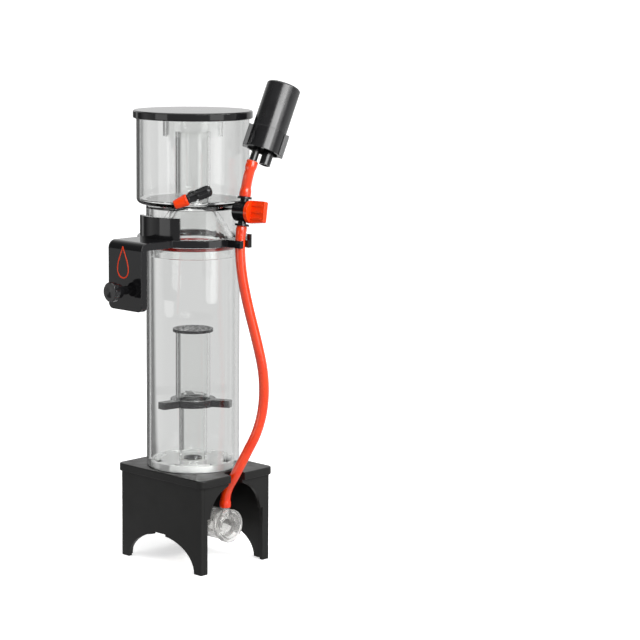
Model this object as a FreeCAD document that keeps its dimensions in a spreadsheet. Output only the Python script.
"""Protein skimmer for a small marine aquarium, as a FreeCAD 1.1 macro.

Frame: millimetres, +Z up. The origin is on the reaction chamber's axis, at the floor. +X is the side where
the air hose runs and the pump draws in water, and the hanging bracket is on the -Y side.
"""

import FreeCAD, Part
import math
import os

import Sketcher
from FreeCAD import Placement, Rotation, Vector

doc = FreeCAD.newDocument("ProteinSkimmer")

# ---------------------------------------------------------------- driving dimensions
DIMENSIONS = {
    # stand
    "stand_left": 41.6, "stand_right": 46.2, "stand_half_depth": 35.3, "stand_wall": 3.0,
    "stand_height": 66.0, "plate_thick": 6.0, "plate_overhang": 2.5, "plate_corner": 5.0,
    "plate_edge": 0.9, "panel_edge": 0.35,
    "side_arch_half": 36.0, "side_arch_rise": 23.0, "rear_arch_half": 31.0, "rear_arch_rise": 20.5,
    "hose_arch_half": 26.0, "hose_arch_rise": 23.0, "hose_arch_spring": 41.5, "hose_leg_half": 28.8,
    "far_arch_half": 27.0, "far_arch_rise": 22.0, "front_notch_half": 7.0, "front_notch_top": 24.3,
    "notch_half": 7.2, "notch_depth": 11.7, "drain_slot_mid": 27.0, "drain_slot_width": 5.0,
    "drain_slot_half_angle": 32.0, "drain_slots": 4,
    # reaction chamber
    "chamber_radius": 35.0, "chamber_wall": 3.0, "chamber_top": 268.0,
    "floor_thick": 5.0, "lower_pipe_radius": 10.5, "upper_pipe_radius": 13.0, "pipe_wall": 1.8,
    "lower_pipe_top": 126.0, "upper_pipe_base": 120.0, "upper_pipe_top": 174.4, "pipe_step": 3.0,
    "glue_play": 0.05,
    "spider_base": 118.0, "spider_thick": 5.2, "spider_ring": 17.0, "spider_reach": 29.5,
    "spider_arm": 8.0, "disc_radius": 15.2, "disc_thick": 2.2, "disc_hole": 1.3,
    # collection cup
    "cup_radius": 42.0, "cup_wall": 2.6, "cup_base": 271.0, "cup_top": 334.0, "cup_floor": 4.0,
    "cup_corner": 4.0,
    "riser_radius": 13.0, "riser_wall": 2.0, "riser_top": 324.0,
    "skirt_radius": 31.6, "skirt_rim": 232.0, "skirt_wall": 3.6, "seal_height": 239.2,
    "seal_section": 1.25, "seal_stand_out": 0.25, "groove_play": 0.05, "cup_land_gap": 0.3,
    "cup_rest_step": 0.2, "throat_step": 1.0, "throat_length": 2.0, "cone_foot": 5.5, "cone_wall": 3.4,
    "lid_radius": 44.4, "lid_base": 334.2, "lid_top": 340.0, "lid_lower_edge": 0.6,
    "lid_upper_edge": 0.8, "lid_ring_radius": 22.3,
    "lid_ring_wall": 2.2, "lid_ring_rim": 321.0,
    # hanging bracket
    "bracket_base": 241.8, "bracket_thick": 5.5, "bracket_ring": 41.5, "bracket_bore": 35.3,
    "bracket_half": 18.0, "bracket_front": 68.0, "bracket_bend": 6.0, "bracket_foot": 197.0,
    "bracket_corner": 4.5, "bracket_edge": 0.5, "upright_radius": 40.0, "upright_thick": 3.0,
    "upright_top": 263.0, "upright_half_angle": 32.5, "fork_reach": 54.5, "fork_half": 6.0,
    "fork_seat": 48.7, "fork_slot": 4.35, "fork_mouth": 2.6, "fork_offset": 1.6, "hook_thick": 1.6,
    "hook_length": 3.2, "hook_rise": 4.4,
    # thumb screw
    "screw_height": 212.0, "screw_across": 1.0, "screw_head": -83.7, "screw_radius": 3.0, "screw_play": 0.06,
    "screw_end": 27.0, "screw_stub": 1.6, "grip_radius": 7.25, "grip_thick": 5.0, "collar_radius": 5.2,
    "collar_end": 9.6, "scallop_radius": 3.2, "scallop_ring": 9.6, "tip_radius": 4.2, "tip_end": 30.8,
    # drain valve
    "drain_bore": 1.2, "drain_spout": 2.05, "drain_barrel": 2.9, "drain_collar": 3.6, "drain_stem": 2.4,
    "drain_seal": 3.1, "drain_seal_thick": 0.6, "drain_nut_radius": 4.2, "drain_knob_radius": 4.3,
    "drain_knob_end": 15.0, "drain_flute": 0.9, "drain_cap_radius": 4.4, "drain_cap_end": 14.6,
    "drain_cap_floor": 11.3, "drain_cap_groove": 0.6,
    # air line
    "hose_radius": 3.75, "hose_bore": 2.35, "barb_radius": 2.2, "barb_length": 3.6,
    "valve_radius": 7.4, "port_end": 10.8,
    "valve_back": 5.4, "valve_front": 5.2, "valve_neck": 3.1, "valve_collar": 5.3, "collar_thick": 1.6,
    "waterway": 1.4, "spindle_radius": 4.2, "spindle_end": 9.0, "spindle_back": 3.5, "pin_radius": 2.0,
    "valve_seal_height": 3.5, "valve_seal_section": 0.47, "knob_radius": 8.4, "knob_base": 5.6,
    "knob_thick": 2.8, "paddle_reach": 19.6, "paddle_thick": 4.4, "paddle_corner": 1.2, "rib_reach": 18.4,
    "rib_half": 0.8, "rib_thick": 6.0,
    "silencer_radius": 12.65, "silencer_length": 51.4, "silencer_seam": 16.4, "silencer_wall": 1.5,
    "silencer_step": 0.6, "silencer_lip": 8.0, "lug_length": 4.0, "lug_width": 10.0, "lug_reach": 15.3,
    "stub_offset": 4.5, "stub_end": 9.3, "barb_stub": 2.9, "inlet_radius": 4.1, "inlet_bore": 2.9,
    # pump
    "pump_axis": 30.7, "intake_face": 41.5, "intake_radius": 12.5, "intake_body": 11.4,
    "intake_bore": 5.5, "volute_radius": 16.5, "volute_half": 8.0, "motor_radius": 17.5,
    "motor_end": 36.5, "rotor_radius": 6.5, "shaft_radius": 1.5, "outlet_radius": 7.0,
    "outlet_base": 45.1, "outlet_top": 78.0, "nipple_across": 35.0, "nipple_radius": 3.3,
    "nipple_top": 44.4, "air_way": 1.2, "intake_throat": 30.2, "volute_wall": 2.2, "volute_face": 1.6,
    "volute_hub": 3.0, "bush_radius": 2.35, "bush_length": 3.4, "bush_play": 0.04, "sleeve_length": 4.6,
    "well_gap": 1.8, "motor_wall": 2.0, "cable_offset": 9.0, "cable_radius": 2.0, "gland_radius": 3.2,
    "cable_bore": 1.6, "volute_seal_section": 0.5, "core_gap": 0.2, "core_wall": 2.2, "tooth_half": 1.6,
    "coil_half": 2.5, "wheel_hub": 3.4, "wheel_radius": 10.8, "wheel_thick": 1.4, "wheel_back": 4.8,
    "needle_radius": 0.55, "needle_length": 5.4,
}

sheet = doc.addObject("Spreadsheet::Sheet", "Sizes")
for row, (alias, number) in enumerate(DIMENSIONS.items(), start=1):
    sheet.set(f"A{row}", alias)
    sheet.set(f"B{row}", str(number))
    sheet.setAlias(f"B{row}", alias)
doc.recompute()


class Dim:
    """A length that knows its number and the sheet formula it comes from."""

    def __init__(self, number, formula=None):
        self.number = float(number)
        self.formula = formula if formula is not None else repr(self.number)

    @staticmethod
    def of(value):
        return value if isinstance(value, Dim) else Dim(value)

    def __add__(self, other):
        other = Dim.of(other)
        return Dim(self.number + other.number, f"({self.formula} + {other.formula})")

    def __sub__(self, other):
        other = Dim.of(other)
        return Dim(self.number - other.number, f"({self.formula} - {other.formula})")

    def __mul__(self, factor):
        return Dim(self.number * factor, f"({self.formula} * {factor})")

    def __neg__(self):
        return self * -1

    __radd__ = __add__
    __rmul__ = __mul__


class Sizes:
    """Gives each sheet cell as a Dim: size.cup_radius."""

    def __getattr__(self, alias):
        return Dim(DIMENSIONS[alias], f"Sizes.{alias}")


size = Sizes()
pieces = {}


def bind(obj, **properties):
    """Sets each property to its number and ties it to its formula."""
    for name, value in properties.items():
        value = Dim.of(value)
        setattr(obj, name, value.number)
        obj.setExpression(name, value.formula)
    return obj


def keep(obj, node):
    """Marks an object as the sub-part with this node name."""
    obj.Label = node
    pieces[node] = obj
    return obj


# ---------------------------------------------------------------- building blocks
def origin_plane(body, role):
    return next(f for f in body.Origin.OriginFeatures if f.Role == role)


def sketch_on(body, role, name):
    sketch = body.newObject("Sketcher::SketchObject", name)
    sketch.AttachmentSupport = [(origin_plane(body, role), "")]
    sketch.MapMode = "FlatFace"
    return sketch


def pin_point(sketch, geometry, point, across, up):
    """Holds a sketch point at (across, up), each driven by its formula."""
    for kind, value, axis in (("DistanceX", across, -2), ("DistanceY", up, -1)):
        if abs(value.number) < 1e-9:
            sketch.addConstraint(Sketcher.Constraint("PointOnObject", geometry, point, axis))
        else:
            at = sketch.addConstraint(Sketcher.Constraint(kind, -1, 1, geometry, point, value.number))
            sketch.setExpression(f"Constraints[{at}]", value.formula)


def draw_outline(sketch, corners):
    """Draws a closed outline of straight sides through the corners."""
    corners = [(Dim.of(a), Dim.of(b)) for a, b in corners]
    spots = [Vector(a.number, b.number, 0) for a, b in corners]
    lines = [
        sketch.addGeometry(Part.LineSegment(spot, spots[(i + 1) % len(spots)]))
        for i, spot in enumerate(spots)
    ]
    for i, line in enumerate(lines):
        sketch.addConstraint(Sketcher.Constraint("Coincident", line, 2, lines[(i + 1) % len(lines)], 1))
        pin_point(sketch, line, 1, *corners[i])


def turned(name, profile, placement=Placement()):
    """A turned piece: its profile of (radius, height) corners goes round the local Z axis."""
    body = doc.addObject("PartDesign::Body", name)
    sketch = sketch_on(body, "XZ_Plane", f"{name}_profile")
    draw_outline(sketch, profile)
    turn = body.newObject("PartDesign::Revolution", f"{name}_turn")
    turn.Profile = sketch
    turn.ReferenceAxis = (sketch, ["V_Axis"])
    turn.Angle = 360.0
    body.Placement = placement
    return body


def extruded(name, outline, depth, role="XY_Plane", placement=Placement(), centred=False):
    """A flat piece: its outline is padded by its depth."""
    body = doc.addObject("PartDesign::Body", name)
    sketch = sketch_on(body, role, f"{name}_outline")
    draw_outline(sketch, outline)
    pad = body.newObject("PartDesign::Pad", f"{name}_pad")
    pad.Profile = sketch
    bind(pad, Length=depth)
    pad.Midplane = centred
    body.Placement = placement
    return body


def tube(name, outer, inner, low, high, placement=Placement()):
    return turned(name, [(inner, low), (outer, low), (outer, high), (inner, high)], placement)


def disc(name, radius, low, high, placement=Placement()):
    return turned(name, [(0, low), (radius, low), (radius, high), (0, high)], placement)


def block(name, low, high):
    """A box between its lowest and its highest corner."""
    low = [Dim.of(v) for v in low]
    high = [Dim.of(v) for v in high]
    box = doc.addObject("Part::Box", name)
    bind(box, Length=high[0] - low[0], Width=high[1] - low[1], Height=high[2] - low[2])
    for axis, value in zip("xyz", low):
        box.setExpression(f"Placement.Base.{axis}", value.formula)
    return box


def rod(name, radius, length, placement):
    cylinder = bind(doc.addObject("Part::Cylinder", name), Radius=radius, Height=length)
    cylinder.Placement = placement
    return cylinder


def fused(name, objects):
    fusion = doc.addObject("Part::MultiFuse", name)
    fusion.Shapes = objects
    fusion.Refine = True
    return fusion


def without(name, base, tools):
    """The base with every tool cut away."""
    tool = tools[0] if len(tools) == 1 else fused(f"{name}_tools", tools)
    cut = doc.addObject("Part::Cut", name)
    cut.Base = base
    cut.Tool = tool
    cut.Refine = True
    return cut


def common(name, base, tool):
    overlap = doc.addObject("Part::Common", name)
    overlap.Base = base
    overlap.Tool = tool
    return overlap


def rounded(name, base, radius, wanted):
    """The base with its wanted edges filleted."""
    doc.recompute()
    fillet = doc.addObject("Part::Fillet", name)
    fillet.Base = base
    fillet.Edges = [
        (number, radius, radius)
        for number, edge in enumerate(base.Shape.Edges, start=1)
        if wanted(edge)
    ]
    return fillet


def upright_edge(edge):
    ends = [v.Point for v in edge.Vertexes]
    return len(ends) == 2 and ends[0].sub(ends[1]).cross(Vector(0, 0, 1)).Length < 1e-6


def level_edge(edge):
    """An edge that lies at one height."""
    return edge.BoundBox.ZLength < 1e-6


def upright_at(across, back, base):
    """Local Z stays upright, from this point."""
    return Placement(Vector(across, back, Dim.of(base).number), Rotation())


def along_x(start, height):
    """Local Z laid along +X, from X = start at this height."""
    return Placement(Vector(start, 0, height), Rotation(Vector(0, 1, 0), 90))


def along_y(across, start, height):
    """Local Z laid along +Y."""
    return Placement(Vector(across, start, height), Rotation(Vector(1, 0, 0), -90))


# ---------------------------------------------------------------- stand
def half_ellipse_tool(name, half, rise, spring, length, placement):
    """An arch cutter: a half-ellipse on the spring line, extruded along its local Z and centred on it."""
    body = doc.addObject("PartDesign::Body", name)
    sketch = sketch_on(body, "XY_Plane", f"{name}_outline")
    below = 5.0
    middle = Vector(0, spring.number, 0)
    crown = Vector(0, spring.number + rise.number, 0)
    side = Vector(half.number, spring.number, 0)
    major, minor = (side, crown) if half.number >= rise.number else (crown, side)
    ellipse = Part.Ellipse(major, minor, middle)
    start = 0.0 if half.number >= rise.number else -math.pi / 2
    arc = Part.ArcOfEllipse(ellipse, start, start + math.pi)
    ends = [arc.StartPoint, arc.EndPoint]
    right, left = sorted(ends, key=lambda point: -point.x)
    top = sketch.addGeometry(arc)
    path = [left, Vector(left.x, -below, 0), Vector(right.x, -below, 0), right]
    for a, b in zip(path, path[1:]):
        sketch.addGeometry(Part.LineSegment(a, b))
    sketch.addConstraint(Sketcher.Constraint("Block", top))
    for line in range(top + 1, top + 4):
        sketch.addConstraint(Sketcher.Constraint("Block", line))
    pad = body.newObject("PartDesign::Pad", f"{name}_pad")
    pad.Profile = sketch
    bind(pad, Length=length)
    pad.Midplane = True
    body.Placement = placement
    return body


def make_stand():
    """Glued panels, the front and back ones over the side ones' ends, and a top plate.

    The arch and the hose's notch part the hose side's panel in two.
    """
    left, right = -size.stand_left, size.stand_right
    depth, wall, top = size.stand_half_depth, size.stand_wall, size.stand_height
    middle = (DIMENSIONS["stand_right"] - DIMENSIONS["stand_left"]) / 2
    facing_y = Rotation(Vector(1, 0, 0), 90)
    facing_x = Rotation(Vector(0, 0, 1), 90).multiply(facing_y)
    through = wall * 3
    floor_line = Dim(0)

    def panel(node, low, high, tools):
        flat = block(f"{node}_block", low, high)
        blank = rounded(f"{node}_blank", flat, DIMENSIONS["panel_edge"], upright_edge)
        keep(without(f"{node}_cut", blank, tools), node)

    front = Placement(Vector(middle, -DIMENSIONS["stand_half_depth"], 0), facing_y)
    front_arch = half_ellipse_tool(
        "front_arch", size.side_arch_half, size.side_arch_rise, floor_line, through, front
    )
    notch_foot = size.front_notch_top * 0.5
    front_notch = block(
        "front_arch_notch", (-size.front_notch_half, -depth - wall, notch_foot),
        (size.front_notch_half, wall * 2 - depth, size.front_notch_top),
    )
    panel("front_panel", (left, -depth, 0), (right, wall - depth, top), [front_arch, front_notch])

    back = Placement(Vector(middle, DIMENSIONS["stand_half_depth"], 0), facing_y)
    back_arch = half_ellipse_tool(
        "back_arch", size.rear_arch_half, size.rear_arch_rise, floor_line, through, back
    )
    panel("back_panel", (left, depth - wall, 0), (right, depth, top), [back_arch])

    far_side = Placement(Vector(-DIMENSIONS["stand_left"], 0, 0), facing_x)
    far_arch = half_ellipse_tool(
        "far_arch", size.far_arch_half, size.far_arch_rise, floor_line, through, far_side
    )
    panel("far_side_panel", (left, wall - depth, 0), (left + wall, depth - wall, top), [far_arch])
    hose_side = Placement(Vector(DIMENSIONS["stand_right"], 0, 0), facing_x)
    hose_arch = half_ellipse_tool(
        "hose_arch", size.hose_arch_half, size.hose_arch_rise, size.hose_arch_spring, through, hose_side
    )
    hose_legs = block(
        "hose_arch_legs", (right - wall * 2, -size.hose_leg_half, -1),
        (right + wall, size.hose_leg_half, size.hose_arch_spring),
    )
    wall_notch_depth = 8.0
    wall_notch = hose_notch("wall_notch", top - wall_notch_depth, wall_notch_depth)
    hose_side_cutters = [hose_arch, hose_legs, *wall_notch]
    for end, low, high in (("front", wall - depth, Dim(0)), ("back", Dim(0), depth - wall)):
        panel(f"hose_side_{end}_panel", (right - wall, low, 0), (right, high, top), hose_side_cutters)

    over = size.plate_overhang
    base, thick = size.stand_height, size.plate_thick
    blank = block(
        "plate_blank", (left - over, -depth - over, base), (right + over, depth + over, base + thick)
    )
    cornered = rounded("plate_cornered", blank, DIMENSIONS["plate_corner"], upright_edge)
    plate = rounded("plate_rounded", cornered, DIMENSIONS["plate_edge"], level_edge)
    cutters = [
        *hose_notch("plate_notch", base, thick),
        rod("pump_hole", size.outlet_radius + 0.1, thick + 2, upright_at(0, 0, base - 1)),
        *drain_slots("plate_slot", base, thick),
    ]
    keep(without("plate_cut", plate, cutters), "stand_top_plate")


def hose_notch(name, base, depth):
    """A round-ended notch in the hose side's edge, cut through this depth."""
    end = DIMENSIONS["stand_right"] + DIMENSIONS["plate_overhang"] - DIMENSIONS["notch_depth"]
    middle = end + DIMENSIONS["notch_half"]
    beyond = size.stand_right + size.plate_overhang * 2
    return [
        rod(f"{name}_round", size.notch_half, depth + 2, upright_at(middle, 0, base - 1)),
        block(
            f"{name}_way", (middle, -size.notch_half, base - 1), (beyond, size.notch_half, base + depth + 1)
        ),
    ]


def sector(name, half_angle, heading, base, height, reach=60.0):
    """A wedge about the vertical axis, pointing along its heading."""
    half = math.radians(half_angle)
    along, aside = reach * math.cos(half), reach * math.sin(half)
    return extruded(
        name, [(0, 0), (along, -aside), (along, aside)], height,
        placement=Placement(Vector(0, 0, base.number), Rotation(Vector(0, 0, 1), heading)),
    )


def drain_slots(name, base, depth):
    """Curved slots that let the cleaned water leave the chamber's floor into the stand."""
    middle, width = size.drain_slot_mid, size.drain_slot_width
    count = DIMENSIONS["drain_slots"]
    slots = []
    for number in range(count):
        heading = 360 / count * (number + 0.5)
        ring = tube(
            f"{name}_ring_{number}", middle + width * 0.5, middle - width * 0.5, base - 1, base + depth + 1
        )
        wedge = sector(
            f"{name}_wedge_{number}", DIMENSIONS["drain_slot_half_angle"], heading, base - 1, depth + 2
        )
        slots.append(common(f"{name}_{number}", ring, wedge))
    return slots


# ---------------------------------------------------------------- reaction chamber
def make_chamber():
    base = size.stand_height + size.plate_thick
    inner = size.chamber_radius - size.chamber_wall
    keep(tube("chamber_wall_tube", size.chamber_radius, inner, base, size.chamber_top), "chamber_tube")

    pipe, wall = size.lower_pipe_radius, size.pipe_wall
    play = DIMENSIONS["glue_play"]
    floor = tube("floor_blank", inner - play, pipe + play, base, base + size.floor_thick)
    slots = drain_slots("floor_slot", base, size.floor_thick)
    keep(without("floor_cut", floor, slots), "chamber_floor")
    keep(tube("lower_pipe", pipe, pipe - wall, base, size.lower_pipe_top), "mixing_pipe")

    upper = size.upper_pipe_radius
    step = size.upper_pipe_base + size.pipe_step
    upper_pipe = turned(
        "upper_pipe",
        [
            (pipe + play, size.upper_pipe_base), (upper, size.upper_pipe_base),
            (upper, size.upper_pipe_top), (upper - wall, size.upper_pipe_top),
            (upper - wall, step), (pipe + play, step),
        ],
    )
    keep(upper_pipe, "diffuser_pipe")
    make_spider()
    make_bubble_disc()


SPIDER_HEADING = 25.5


def make_spider():
    base, thick = size.spider_base, size.spider_thick
    root = size.spider_ring - 1
    root_half, end_half = size.spider_arm * 0.5, size.spider_arm * 0.42
    hub = tube("spider_hub", size.spider_ring, size.upper_pipe_radius + size.glue_play, base, base + thick)
    outline = [
        (root, -root_half), (size.spider_reach, -end_half), (size.spider_reach, end_half), (root, root_half),
    ]
    arms = []
    for number in range(3):
        turn = Rotation(Vector(0, 0, 1), SPIDER_HEADING + 120 * number)
        place = Placement(Vector(0, 0, base.number), turn)
        arms.append(extruded(f"spider_arm_{number}", outline, thick, placement=place))
    keep(fused("spider_whole", [hub, *arms]), "tube_spider")


# Rings of holes in the bubble disc: (radius, how many).
DISC_HOLES = ((4.0, 6), (8.0, 12), (12.0, 18))


def make_bubble_disc():
    base = size.upper_pipe_top
    blank = disc("bubble_blank", size.disc_radius, base, base + size.disc_thick)
    holes = []
    for ring, count in DISC_HOLES:
        for step in range(count):
            angle = 2 * math.pi * step / count
            place = upright_at(ring * math.cos(angle), ring * math.sin(angle), base - 1)
            name = f"bubble_hole_{int(ring)}_{step}"
            holes.append(rod(name, size.disc_hole, size.disc_thick + 2, place))
    keep(without("bubble_cut", blank, holes), "bubble_disc")


# ---------------------------------------------------------------- collection cup
def make_cup():
    outer, wall, base, top = size.cup_radius, size.cup_wall, size.cup_base, size.cup_top
    riser, hole = size.riser_radius, size.riser_radius + size.glue_play
    floor_top = base + size.cup_floor
    shell = turned(
        "cup_shell",
        [
            (hole, base), (outer, base), (outer, top), (outer - wall, top), (outer - wall, floor_top),
            (hole, floor_top),
        ],
    )

    def bottom_corner(edge):
        box = edge.BoundBox
        return box.ZLength < 1e-6 and abs(box.ZMin - base.number) < 1e-6 and box.XLength > outer.number

    keep(rounded("cup_cornered", shell, DIMENSIONS["cup_corner"], bottom_corner), "cup_body")
    keep(tube("riser_tube", riser, riser - size.riser_wall, base, size.riser_top), "cup_riser")

    skirt, rim, seal = size.skirt_radius, size.skirt_rim, size.seal_height
    section = size.seal_section
    inner = skirt - size.skirt_wall
    ring_middle = skirt + size.seal_stand_out - section
    groove = ring_middle - section - size.groove_play
    half_groove = section + size.groove_play
    land = size.chamber_top + size.cup_land_gap
    rest = size.chamber_radius - size.cup_rest_step
    throat = riser - size.throat_step
    cone = turned(
        "cone_shell",
        [
            (throat, base), (throat, base - size.throat_length), (inner, seal + size.cone_foot - 1),
            (inner, rim), (skirt, rim), (skirt, seal - half_groove), (groove, seal - half_groove),
            (groove, seal + half_groove), (skirt, seal + half_groove), (skirt, seal + size.cone_foot),
            (riser + size.cone_wall, land), (rest, land), (rest, base),
        ],
    )
    keep(cone, "cup_cone")
    ring = doc.addObject("Part::Torus", "neck_ring")
    bind(ring, Radius1=ring_middle, Radius2=section)
    ring.setExpression("Placement.Base.z", seal.formula)
    keep(ring, "neck_seal_ring")

    lower_edge, upper_edge = size.lid_lower_edge, size.lid_upper_edge
    lid = turned(
        "lid_turned",
        [
            (0, size.lid_base), (size.lid_radius - lower_edge, size.lid_base),
            (size.lid_radius, size.lid_base + lower_edge), (size.lid_radius, size.lid_top - upper_edge),
            (size.lid_radius - upper_edge, size.lid_top), (0, size.lid_top),
        ],
    )
    keep(lid, "lid")
    outer = size.lid_ring_radius
    inner = outer - size.lid_ring_wall
    keep(tube("lid_ring_tube", outer, inner, size.lid_ring_rim, size.lid_base), "lid_splash_ring")


# The drain valve lies across the front of the cup, tilted, on a boss that points at the cup's axis.
DRAIN_CENTRE = Vector(33.7, -32.0, 279.7)
DRAIN_HEADING = math.degrees(math.atan2(DRAIN_CENTRE.y, DRAIN_CENTRE.x))
DRAIN_TILT = 22.8


def make_drain():
    """A turning drain valve: spout with a cap at one end, fluted knob at the other, stem into the cup."""
    tilt = Rotation(Vector(0, 1, 0), 90 - DRAIN_TILT)
    valve = Placement(DRAIN_CENTRE, Rotation(Vector(0, 0, 1), DRAIN_HEADING + 90).multiply(tilt))
    inward = Rotation(Vector(0, 0, 1), DRAIN_HEADING).multiply(Rotation(Vector(0, 1, 0), -90))
    boss = Placement(DRAIN_CENTRE, inward)
    wall_at = math.hypot(DRAIN_CENTRE.x, DRAIN_CENTRE.y) - DIMENSIONS["cup_radius"]
    inside = wall_at + DIMENSIONS["cup_wall"]
    seal_face = wall_at - DIMENSIONS["drain_seal_thick"]
    bore, spout, barrel, collar = size.drain_bore, size.drain_spout, size.drain_barrel, size.drain_collar
    stem, seal = size.drain_stem, size.drain_seal
    play = size.glue_play

    body = turned(
        "drain_turned",
        [
            (bore, -11), (spout, -11), (spout, -3.9), (collar, -3.9), (collar, -2.6), (barrel, -2.6),
            (barrel, 3.1), (1.7, 3.1), (1.7, 1.5), (bore, 1.5),
        ],
        valve,
    )
    pipe = tube("drain_boss", stem, bore, 1.8, inside + 2.5, boss)
    flange = tube("drain_flange", seal, bore, seal_face - 1.2, seal_face, boss)
    keep(fused("drain_whole", [body, pipe, flange]), "drain_body")
    keep(tube("drain_washer", seal, stem + play, seal_face, wall_at, boss), "drain_gasket")
    nut_face = inside + 0.3
    keep(tube("drain_lock", size.drain_nut_radius, stem + play, nut_face, nut_face + 2, boss), "drain_nut")

    grip, end = size.drain_knob_radius, size.drain_knob_end
    capsule = turned(
        "drain_knob_turned",
        [
            (0, 1.6), (1.6, 1.6), (1.6, 3.3), (grip, 3.3), (grip, end - 3.4), (grip - 0.4, end - 1.8),
            (grip - 1.6, end - 0.6), (grip - 3.1, end - 0.1), (0, end),
        ],
        valve,
    )
    flute_ring = DIMENSIONS["drain_knob_radius"] + 0.45
    flutes = []
    for number in range(8):
        angle = 2 * math.pi * number / 8
        place = upright_at(flute_ring * math.cos(angle), flute_ring * math.sin(angle), 4.6)
        flutes.append(rod(f"drain_flute_{number}", size.drain_flute, 7.5, valve.multiply(place)))
    keep(without("drain_knob_cut", capsule, flutes), "drain_knob")

    cap, cap_end, cap_floor = size.drain_cap_radius, size.drain_cap_end, size.drain_cap_floor
    fit = spout + 0.1
    shell = turned(
        "drain_cap_turned",
        [
            (0, -cap_end), (cap - 1.8, -cap_end), (cap - 1.2, -cap_end + 0.4), (cap, -5.2),
            (cap - 0.2, -4.1), (fit, -4.1), (fit, -cap_floor), (0, -cap_floor),
        ],
        valve,
    )
    groove_ring = DIMENSIONS["drain_cap_radius"] + 0.2
    grooves = []
    for number in range(10):
        angle = 2 * math.pi * number / 10
        place = upright_at(groove_ring * math.cos(angle), groove_ring * math.sin(angle), -cap_end + 1.2)
        grooves.append(rod(f"drain_cap_groove_{number}", size.drain_cap_groove, 7.6, valve.multiply(place)))
    keep(without("drain_cap_cut", shell, grooves), "drain_cap")
    bore_through = rod("cup_drain_bore", stem + 0.1, 12, boss)
    cup = pieces["cup_body"]
    cup.Label = "cup_shell_body"
    keep(without("cup_bored", cup, [bore_through]), "cup_body")


# ---------------------------------------------------------------- hanging bracket
def make_bracket():
    base, thick = size.bracket_base, size.bracket_thick
    top = base + thick
    front, half, foot = size.bracket_front, size.bracket_half, size.bracket_foot
    edge = size.bracket_edge
    ring = turned(
        "ring_disc",
        [
            (0, base), (size.bracket_ring - edge, base), (size.bracket_ring, base + edge),
            (size.bracket_ring, top - edge), (size.bracket_ring - edge, top), (0, top),
        ],
    )
    ring_overlap = 30.0
    shelf = block("shelf", (-half, -front, base), (half, -ring_overlap, top))
    drop = block("drop", (-half, -front, foot), (half, thick - front, top))
    ell = fused("shelf_and_drop", [shelf, drop])
    front_y, top_z, foot_z = -front.number, top.number, foot.number

    def outer_bend(edge):
        ends = [v.Point for v in edge.Vertexes]
        return len(ends) == 2 and all(abs(p.y - front_y) < 1e-6 and abs(p.z - top_z) < 1e-6 for p in ends)

    def foot_corner(edge):
        ends = [v.Point for v in edge.Vertexes]
        along = abs(ends[0].y - ends[1].y) > 1
        return len(ends) == 2 and along and all(abs(p.z - foot_z) < 1e-6 for p in ends)

    bent = rounded("bent", ell, DIMENSIONS["bracket_bend"], outer_bend)
    cornered = rounded("cornered", bent, DIMENSIONS["bracket_corner"], foot_corner)
    bend_depth = DIMENSIONS["bracket_bend"] + 0.1

    def outer_rim(edge):
        """The edge between the bent strip's outer face and its two sides."""
        box = edge.BoundBox
        at_side = box.XLength < 1e-6 and abs(abs(box.XMin) - half.number) < 1e-6
        on_front = abs(box.YMin - front_y) < 1e-6 and box.YLength < bend_depth
        return at_side and (on_front or abs(box.ZMin - top_z) < 1e-6)

    edged = rounded("edged", cornered, DIMENSIONS["bracket_edge"], outer_rim)
    offset, reach = size.fork_offset, size.fork_reach
    side = offset + size.fork_half
    tab = block("fork_tab", (size.bracket_bore, offset - size.fork_half, base), (reach, side, top))
    hook = block(
        "fork_hook", (reach - size.hook_length, side - size.hook_thick, top),
        (reach, side, top + size.hook_rise),
    )
    solid = fused("bracket_solid", [ring, edged, tab, hook])
    seat_at = upright_at(DIMENSIONS["fork_seat"], DIMENSIONS["fork_offset"], base - 1)
    gap_low = (size.fork_seat, offset - size.fork_mouth, base - 1)
    gap_high = (reach + 1, offset + size.fork_mouth, top + 1)
    screw_way = along_y(DIMENSIONS["screw_across"], front_y - 2, DIMENSIONS["screw_height"])
    cutters = [
        rod("bracket_bore_tool", size.bracket_bore, thick + 2, upright_at(0, 0, base - 1)),
        rod("fork_seat", size.fork_slot, thick + 2, seat_at),
        block("fork_gap", gap_low, gap_high),
        rod("screw_hole", size.screw_radius + size.screw_play, 12, screw_way),
    ]
    keep(without("bracket_cut", solid, cutters), "bracket_frame")

    upright = tube(
        "upright_ring", size.upright_radius, size.upright_radius - size.upright_thick, top, size.upright_top
    )
    wedge = sector("upright_wedge", DIMENSIONS["upright_half_angle"], -90, top - 1, 30)
    keep(common("upright_arc", upright, wedge), "bracket_upright")


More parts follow.
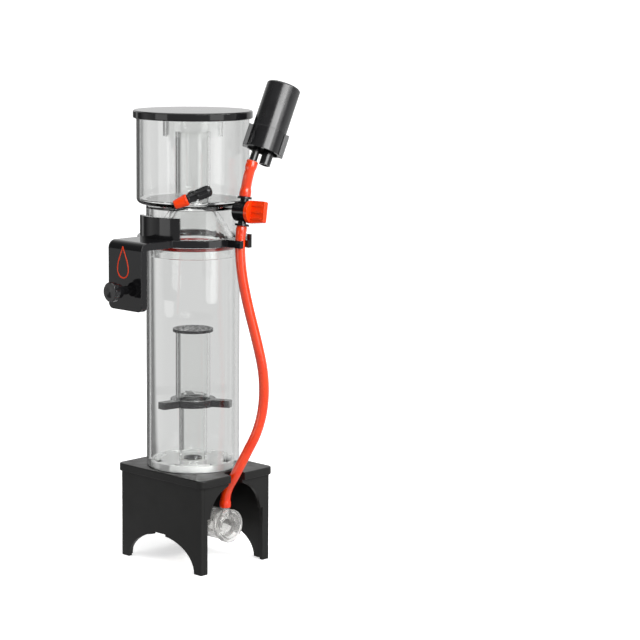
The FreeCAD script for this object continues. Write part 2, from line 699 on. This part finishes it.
def make_clamp_screw():
    """Thumb screw through the hanging plate, with a soft tip that meets the tank's glass."""
    place = along_y(DIMENSIONS["screw_across"], DIMENSIONS["screw_head"], DIMENSIONS["screw_height"])
    grip, thick, collar, neck = size.grip_radius, size.grip_thick, size.collar_radius, size.collar_end
    shank, end, stub = size.screw_radius, size.screw_end, size.screw_stub
    screw = turned(
        "screw_turned",
        [
            (0, 0.6), (4.2, 0), (grip - 0.85, 0), (grip, 0.8), (grip, thick - 0.6), (grip - 0.75, thick),
            (collar, thick + 0.2), (collar, neck), (shank, neck + 0.2), (shank, end), (stub, end),
            (stub, end + 1.8), (0, end + 1.8),
        ],
        place,
    )
    ring = DIMENSIONS["scallop_ring"]
    scallops = []
    for number in range(6):
        angle = 2 * math.pi * (number + 0.5) / 6
        spot = upright_at(ring * math.cos(angle), ring * math.sin(angle), -0.5)
        name = f"screw_scallop_{number}"
        scallops.append(rod(name, size.scallop_radius, thick + 0.7, place.multiply(spot)))
    keep(without("screw_cut", screw, scallops), "clamp_screw")

    tip, tip_end, play = size.tip_radius, size.tip_end, 0.05
    pad = turned(
        "screw_tip_turned",
        [
            (stub + play, end + play), (tip, end + play), (tip, tip_end - 0.6), (tip - 0.6, tip_end),
            (0, tip_end), (0, end + 1.9), (stub + play, end + 1.9),
        ],
        place,
    )
    keep(pad, "screw_tip")


# ---------------------------------------------------------------- air line
# The valve leans with the hose: its knob points away from the cup and its ports run up and down.
VALVE_CENTRE = Vector(48.0, 5.3, 268.0)
VALVE_TURN = 10.0
VALVE_LEAN = 10.0


def valve_frame():
    """Local Z runs up the ports and local X along the knob's axis."""
    turn = Rotation(Vector(0, 0, 1), VALVE_TURN)
    lean = Rotation(Vector(1, 0, 0), -VALVE_LEAN)
    return Placement(VALVE_CENTRE, turn.multiply(lean))


def on_knob_axis(frame):
    """The valve's frame with local Z laid along the knob's axis."""
    return frame.multiply(Placement(Vector(), Rotation(Vector(0, 1, 0), 90)))


def make_valve():
    frame = valve_frame()
    knob_axis = on_knob_axis(frame)
    make_valve_body(frame, knob_axis)
    make_spindle(frame, knob_axis)
    make_valve_knob(frame, knob_axis)


def make_valve_body(frame, knob_axis):
    barb, port, neck, collar = size.barb_radius, size.port_end, size.valve_neck, size.valve_collar
    shoulder, barb_end = port - size.collar_thick, port + size.barb_length
    shell = disc("valve_barrel", size.valve_radius, -size.valve_back, size.valve_front, knob_axis)
    outline = [
        (0, 4), (neck, 4), (neck, shoulder), (collar, shoulder), (collar, port), (barb, port),
        (barb, barb_end), (0, barb_end),
    ]
    upper = turned("valve_port_upper", outline, frame)
    flipped = Placement(Vector(), Rotation(Vector(1, 0, 0), 180))
    lower = turned("valve_port_lower", outline, frame.multiply(flipped))
    solid = fused("valve_solid", [shell, upper, lower])
    bore_floor = -size.spindle_back - 0.1
    cutters = [
        rod("valve_waterway", size.waterway, 40, frame.multiply(upright_at(0, 0, -20))),
        rod(
            "valve_barrel_bore", size.spindle_radius + size.glue_play, 9,
            knob_axis.multiply(upright_at(0, 0, bore_floor)),
        ),
    ]
    keep(without("valve_cut", solid, cutters), "valve_body")


def make_spindle(frame, knob_axis):
    """The valve's turning core, with a groove for its seal and a pin for the knob."""
    radius, back, pin, end = size.spindle_radius, size.spindle_back, size.pin_radius, size.spindle_end
    seal, section = size.valve_seal_height, size.valve_seal_section
    groove = radius - 1.0
    spindle = turned(
        "spindle_turned",
        [
            (0, -back), (radius, -back), (radius, seal - 0.9), (groove, seal - 0.9), (groove, seal + 0.9),
            (radius, seal + 0.9), (radius, 5.3), (pin, 5.3), (pin, end), (0, end),
        ],
        knob_axis,
    )
    cross = rod("spindle_cross_bore", size.waterway, 20, frame.multiply(upright_at(0, 0, -10)))
    keep(without("spindle_cut", spindle, [cross]), "valve_spindle")

    ring = doc.addObject("Part::Torus", "valve_ring")
    bind(ring, Radius1=radius - 0.45, Radius2=section)
    ring.Placement = knob_axis.multiply(upright_at(0, 0, seal))
    keep(ring, "valve_o_ring")


def make_valve_knob(frame, knob_axis):
    """A disc with a flat paddle that has three grip ribs."""
    base, reach, thick = size.knob_base, size.paddle_reach, size.paddle_thick
    head = disc("knob_disc", size.knob_radius, base, base + size.knob_thick, knob_axis)
    root, half = 8.0, 8.3
    flat = extruded(
        "knob_paddle",
        [(root, -half), (reach, 1.1 - half), (reach, half - 0.7), (reach - 1, half), (root, half)],
        thick, role="XZ_Plane", placement=frame, centred=True,
    )
    doc.recompute()

    def corner_edge(edge):
        return abs(edge.Length - thick.number) < 1e-6

    paddle = rounded("knob_paddle_rounded", flat, DIMENSIONS["paddle_corner"], corner_edge)
    rib_half, rib_end = DIMENSIONS["rib_half"], size.rib_reach
    ribs = []
    for number, height in enumerate((-4.6, 0.2, 5.0)):
        low, high = height - rib_half, height + rib_half
        outline = [(root, low), (rib_end - rib_half, low), (rib_end, height), (rib_end - rib_half, high)]
        outline.append((root, high))
        ribs.append(
            extruded(
                f"knob_rib_{number}", outline, size.rib_thick, role="XZ_Plane", placement=frame, centred=True
            )
        )
    socket = rod("knob_socket", size.pin_radius + 0.03, 4, knob_axis.multiply(upright_at(0, 0, 5)))
    keep(without("knob_cut", fused("knob_solid", [head, paddle, *ribs]), [socket]), "valve_knob")


# The silencer leans towards +Y above the valve.
SILENCER_FOOT = Vector(55.1, 17.7, 311.8)
SILENCER_UP = Vector(0.027, 0.407, 0.913)
SILENCER_ACROSS = Vector(0.688, 0.725, 0)


def silencer_frame():
    """Local Z runs up the silencer's axis and local X across its two stubs."""
    up = Vector(SILENCER_UP).normalize()
    across = SILENCER_ACROSS.sub(Vector(up).multiply(SILENCER_ACROSS.dot(up))).normalize()
    return Placement(SILENCER_FOOT, Rotation(across, up.cross(across), up, "XYZ"))


def make_silencer():
    frame = silencer_frame()
    make_silencer_base(frame)
    radius, wall, seam = size.silencer_radius, size.silencer_wall, size.silencer_seam
    end = size.silencer_length
    lip = size.silencer_lip + 0.1
    inner = radius - wall * 2
    can = turned(
        "silencer_can",
        [
            (radius - wall, seam), (radius, seam), (radius, end - 1), (radius - 1, end), (0, end),
            (0, end - wall), (inner, end - wall), (inner, lip), (radius - wall, lip),
        ],
        frame,
    )
    keep(can, "silencer_can")
    keep(disc("silencer_pad", inner - 0.3, 12, end - wall - 2, frame), "silencer_foam")


def make_silencer_base(frame):
    """A collar with two lugs, closed by a floor that carries the barb and the air inlet."""
    radius, wall, seam = size.silencer_radius, size.silencer_wall, size.silencer_seam
    outer = radius + size.silencer_step
    lip_radius = radius - wall - 1.5
    fit = radius - wall + size.glue_play
    floor_low, floor_high = 2.5, 4.6
    collar = turned(
        "silencer_base_turned",
        [
            (0, floor_low), (outer - wall, floor_low), (outer - wall, 0), (outer, 0), (outer, seam),
            (fit, seam), (fit, size.silencer_lip), (lip_radius, size.silencer_lip),
            (lip_radius, floor_high), (0, floor_high),
        ],
        frame,
    )
    lug_reach, lug_length = DIMENSIONS["lug_reach"], DIMENSIONS["lug_length"]
    lugs = []
    for name, start in (("barb_side", -lug_reach), ("inlet_side", lug_reach - lug_length)):
        lug = doc.addObject("Part::Box", f"silencer_lug_{name}")
        bind(lug, Length=size.lug_length, Width=size.lug_width, Height=seam - 0.4)
        lug.Placement = frame.multiply(upright_at(start, -DIMENSIONS["lug_width"] / 2, 0))
        lugs.append(lug)
    offset, stub_end, stub_root = DIMENSIONS["stub_offset"], size.stub_end, 3
    barb_end = stub_end + size.barb_length
    barb = turned(
        "silencer_barb",
        [
            (0, -barb_end), (size.barb_radius, -barb_end), (size.barb_radius, -stub_end),
            (size.barb_stub, -stub_end), (size.barb_stub, stub_root), (0, stub_root),
        ],
        frame.multiply(upright_at(-offset, 0, 0)),
    )
    inlet_at = frame.multiply(upright_at(offset, 0, 0))
    inlet = disc("silencer_inlet", size.inlet_radius, -stub_end - 0.1, stub_root, inlet_at)
    cutters = [
        rod("silencer_barb_bore", size.waterway, 24, frame.multiply(upright_at(-offset, 0, -17))),
        rod("silencer_inlet_bore", size.inlet_bore, 18, frame.multiply(upright_at(offset, 0, -10))),
    ]
    solid = fused("silencer_base_solid", [collar, *lugs, barb, inlet])
    keep(without("silencer_base_cut", solid, cutters), "silencer_base")


# Air hose from the valve's lower port to the pump's nipple: it passes the bracket's fork, bows out beside
# the chamber and dips through the notch into the stand.
HOSE_ROUTE = [
    (48.3, 3.5, 257.3),
    (48.6, 2.0, 249.0),
    (48.7, 1.6, 234.0),
    (50.3, 2.5, 218.0),
    (53.4, 5.2, 198.0),
    (57.5, 10.2, 173.0),
    (60.4, 15.0, 148.0),
    (59.9, 15.9, 124.5),
    (56.6, 12.9, 104.0),
    (50.8, 6.9, 87.4),
    (46.8, 3.0, 76.2),
    (43.0, 0.9, 67.7),
    (37.9, 0.2, 59.8),
    (35.2, 0.0, 52.2),
    (35.0, 0.0, 44.6),
]

# The short hose from the silencer's barb to the valve's upper port, straight over both barbs.
SHORT_ROUTE = [
    (51.63, 11.07, 304.64),
    (51.44, 8.23, 298.28),
    (47.47, 8.35, 285.53),
    (47.68, 7.15, 278.67),
]


def smooth_path(route):
    """Straight runs joined by tangent arcs, each arc as large as its two runs allow."""
    points = [Vector(*p) for p in route]
    here = points[0]
    edges, radii = [], []
    for before, corner, after in zip(points, points[1:], points[2:]):
        back = before.sub(corner)
        on = after.sub(corner)
        turn = math.pi - back.getAngle(on)
        tangent = 0.45 * min(back.Length, on.Length)
        radii.append(tangent / math.tan(turn / 2))
        start = corner.add(Vector(back).normalize().multiply(tangent))
        end = corner.add(Vector(on).normalize().multiply(tangent))
        inward = Vector(back).normalize().add(Vector(on).normalize()).normalize()
        to_centre = radii[-1] / math.cos(turn / 2)
        middle = corner.add(Vector(inward).multiply(to_centre - radii[-1]))
        edges.append(Part.LineSegment(here, start).toShape())
        edges.append(Part.Arc(start, middle, end).toShape())
        here = end
    edges.append(Part.LineSegment(here, points[-1]).toShape())
    return Part.Wire(edges), radii


def make_hose(node, route):
    outer = DIMENSIONS["hose_radius"]
    bore = DIMENSIONS["hose_bore"]
    path, radii = smooth_path(route)
    start = Vector(*route[0])
    heading = Vector(*route[1]).sub(start)
    solids = [
        path.makePipeShell([Part.Wire(Part.makeCircle(radius, start, heading))], True, False)
        for radius in (outer, bore)
    ]
    shape = solids[0].cut(solids[1])
    ideal = math.pi * (outer ** 2 - bore ** 2) * path.Length
    print(f"{node}: length {path.Length:.1f} mm, tightest radius {min(radii):.1f} mm, "
          f"volume {shape.Volume:.0f} of {ideal:.0f} mm3")
    feature = doc.addObject("Part::Feature", f"{node}_shape")
    feature.Shape = shape
    keep(feature, node)


# ---------------------------------------------------------------- pump
def make_pump():
    place = along_x(0, DIMENSIONS["pump_axis"])
    make_intake(place)
    make_volute(place)
    make_motor(place)
    make_stator(place)
    make_rotor(place)
    make_needle_wheel(place)


def make_intake(place):
    """Clear inlet with a throat, and a nipple above it that the air hose is pushed onto."""
    face, rim, body, bore = size.intake_face, size.intake_radius, size.intake_body, size.intake_bore
    pocket = bore + 2.4
    intake = turned(
        "intake_turned",
        [
            (bore, size.volute_half), (body, size.volute_half), (body, face - 6.4), (body - 1.6, face - 5.6),
            (body - 1.6, face - 4.6), (rim, face - 3.8), (rim, face - 0.7), (rim - 0.7, face),
            (rim - 3.2, face), (bore + 0.9, face - 5), (bore, face - 5), (bore, face - 9),
            (pocket, face - 10), (pocket, face - 17), (bore, face - 18),
        ],
        place,
    )
    across, top = DIMENSIONS["nipple_across"], size.nipple_top
    root, barb_end = 36, top + size.barb_length
    nipple = turned(
        "intake_nipple",
        [
            (0, root), (size.nipple_radius, root), (size.nipple_radius, top), (size.barb_radius, top),
            (size.barb_radius, barb_end), (0, barb_end),
        ],
        upright_at(across, 0, 0),
    )
    air_way = rod("intake_air_way", size.air_way, 22, upright_at(across, 0, 30))
    throat = rod("intake_throat", bore, 11.4, along_x(DIMENSIONS["intake_throat"], DIMENSIONS["pump_axis"]))
    solid = without("intake_bored", fused("intake_solid", [intake, nipple]), [air_way, throat])
    keep(solid, "venturi_intake")


def make_volute(place):
    """Pump chamber with a spoked front bearing and an outlet pipe that rises into the mixing pipe."""
    bore, half, radius = size.intake_bore, size.volute_half, size.volute_radius
    wall, face_wall, hub_radius = size.volute_wall, size.volute_face, size.volute_hub
    bush, bush_base = size.bush_radius, half - size.bush_length
    casing = turned(
        "volute_turned",
        [
            (bore, half), (bore, half - face_wall), (radius - wall, half - face_wall),
            (radius - wall, -half), (radius, -half), (radius, half),
        ],
        place,
    )
    root, tip, spoke_half = hub_radius - 0.4, bore + 0.5, 0.8
    outline = [(root, -spoke_half), (tip, -spoke_half), (tip, spoke_half), (root, spoke_half)]
    spokes = []
    for number in range(3):
        turn = Rotation(Vector(0, 0, 1), 30 + 120 * number)
        spot = Placement(Vector(0, 0, (half - face_wall).number), turn)
        spokes.append(extruded(f"volute_spoke_{number}", outline, face_wall, placement=place.multiply(spot)))
    hub = tube("volute_hub", hub_radius, bush, bush_base, half, place)
    outlet = disc("volute_outlet", size.outlet_radius, size.outlet_base, size.outlet_top)
    solid = fused("volute_solid", [casing, *spokes, hub, outlet])
    clear_way = rod("outlet_bore", size.outlet_radius - 2, 50, upright_at(0, 0, 38))
    keep(without("volute_cut", solid, [clear_way]), "pump_volute")

    sleeve_outer = size.lower_pipe_radius - size.pipe_wall
    sleeve_top = size.outlet_top - 1
    sleeve_base = sleeve_top - size.sleeve_length
    keep(tube("outlet_sleeve", sleeve_outer, size.outlet_radius, sleeve_base, sleeve_top), "outlet_seal")
    bush_inner = size.shaft_radius + size.bush_play
    keep(tube("front_bush_turned", bush, bush_inner, bush_base, half - 0.2, place), "front_bush")


def make_motor(place):
    """Sealed motor case whose inner well takes the rotor, its end cover and the cord's gland."""
    half, end = size.volute_half, size.motor_end
    motor, well, wall = size.motor_radius, size.rotor_radius + size.well_gap, size.motor_wall
    front = -half - 0.05
    spigot = size.volute_radius - size.volute_wall
    bush_seat = 2.8
    housing = turned(
        "motor_turned",
        [
            (well - 1, front), (well - 1, -end + 6), (bush_seat, -end + 6), (bush_seat, -end + 3.6),
            (0, -end + 3.6), (0, -end + 2.4), (well, -end + 2.4), (well, -half - 2.4),
            (motor - wall, -half - 2.4), (motor - wall, -end + 1.2), (motor, -end + 1.2), (motor, front),
            (spigot - 1.2, front), (spigot - 1.2, -half + 2.2), (spigot - 2.8, -half + 2.2),
            (spigot - 2.8, front),
        ],
        place,
    )
    keep(housing, "motor_housing")
    cover = disc("motor_cover_turned", motor, -end - 1, -end + 1.15, place)
    cable_height = DIMENSIONS["pump_axis"] + DIMENSIONS["cable_offset"]
    cable_bore = rod("cable_hole", size.cable_radius, 6, along_x(-DIMENSIONS["motor_end"] - 3, cable_height))
    keep(without("motor_cover_cut", cover, [cable_bore]), "motor_cover")
    facing_out = Placement(Vector(), Rotation(Vector(1, 0, 0), 180))
    gland = along_x(-DIMENSIONS["motor_end"] - 1, cable_height).multiply(facing_out)
    keep(tube("gland_turned", size.gland_radius, size.cable_bore, 0, 1, gland), "cable_gland")
    seal = doc.addObject("Part::Torus", "volute_ring")
    bind(seal, Radius1=spigot - 0.55, Radius2=size.volute_seal_section)
    seal.Placement = along_x(1.3 - DIMENSIONS["volute_half"], DIMENSIONS["pump_axis"])
    keep(seal, "volute_o_ring")


def make_stator(place):
    half, end, motor = size.volute_half, size.motor_end, size.motor_radius
    core_inner = size.rotor_radius + size.well_gap + size.core_gap
    core_outer = motor - size.core_wall
    tooth = size.tooth_half
    core = tube("core_tube", core_outer, core_outer - size.core_wall, -end + 6, -half - 5, place)
    teeth = []
    coils = []
    for number in range(6):
        at = place.multiply(Placement(Vector(), Rotation(Vector(0, 0, 1), 60 * number)))
        teeth.append(
            stator_bar(f"core_tooth_{number}", core_inner, motor - 4, tooth, -end + 8, -half - 7, at)
        )
        window = stator_bar(
            f"coil_window_{number}", core_inner - 1, motor - 3, tooth + size.glue_play, -end + 7.9,
            -half - 6.9, at
        )
        winding = stator_bar(
            f"coil_block_{number}", core_inner + 1.4, motor - 4.8, size.coil_half, -end + 6.4,
            -half - 5.4, at
        )
        coils.append(without(f"coil_{number}", winding, [window]))
    keep(fused("core_whole", [core, *teeth]), "stator_core")
    keep(fused("coils_whole", coils), "stator_coils")


def stator_bar(name, near, far, half_width, low, high, placement):
    """A radial bar of the stator, between two radii along the local X axis."""
    outline = [(near, -half_width), (far, -half_width), (far, half_width), (near, half_width)]
    return extruded(name, outline, high - low, placement=placement.multiply(upright_at(0, 0, low)))


def make_rotor(place):
    half, end, shaft = size.volute_half, size.motor_end, size.shaft_radius
    keep(disc("shaft_turned", shaft, -end + 3.8, half - 0.4, place), "rotor_shaft")
    bush_inner = shaft + size.bush_play
    keep(tube("rear_bush_turned", 2.75, bush_inner, -end + 3.7, -end + 5.9, place), "rear_bush")
    keep(tube("rotor_turned", size.rotor_radius, shaft, -end + 7, -half - 1, place), "rotor_magnet")


# Rings of needles on the pump's wheel: (radius, how many).
NEEDLES = ((5.8, 6), (8.1, 8), (10.0, 10))


def make_needle_wheel(place):
    shaft, hub, rim, back = size.shaft_radius, size.wheel_hub, size.wheel_radius, size.wheel_back
    disc_back = back - size.wheel_thick
    disc_front = disc_back - size.wheel_thick
    wheel = turned(
        "wheel_turned",
        [
            (shaft, -back), (hub, -back), (hub, -disc_back), (rim, -disc_back), (rim, -disc_front),
            (hub, -disc_front), (hub, hub), (shaft, hub),
        ],
        place,
    )
    needles = []
    for ring, count in NEEDLES:
        for step in range(count):
            angle = 2 * math.pi * (step + 0.5) / count
            spot = upright_at(ring * math.cos(angle), ring * math.sin(angle), -2.4)
            name = f"needle_{int(ring)}_{step}"
            needles.append(rod(name, size.needle_radius, size.needle_length, place.multiply(spot)))
    keep(fused("wheel_whole", [wheel, *needles]), "needle_wheel")


# ---------------------------------------------------------------- build, check and write
make_stand()
make_chamber()
make_cup()
make_drain()
make_bracket()
make_clamp_screw()
make_valve()
make_silencer()
make_hose("air_hose", HOSE_ROUTE)
make_hose("silencer_hose", SHORT_ROUTE)
make_pump()
doc.recompute()

failed = [obj.Name for obj in doc.Objects if "Invalid" in obj.State or "Error" in obj.State]
if failed:
    raise RuntimeError(f"these objects did not build: {failed}")
os.makedirs("parts", exist_ok=True)
for node, obj in pieces.items():
    shape = obj.Shape
    if shape.isNull() or not shape.isValid() or not shape.Solids:
        raise RuntimeError(f"{node} has no valid solid")
    shape.exportStep(f"parts/{node}.step")
print(f"{len(pieces)} sub-parts written")
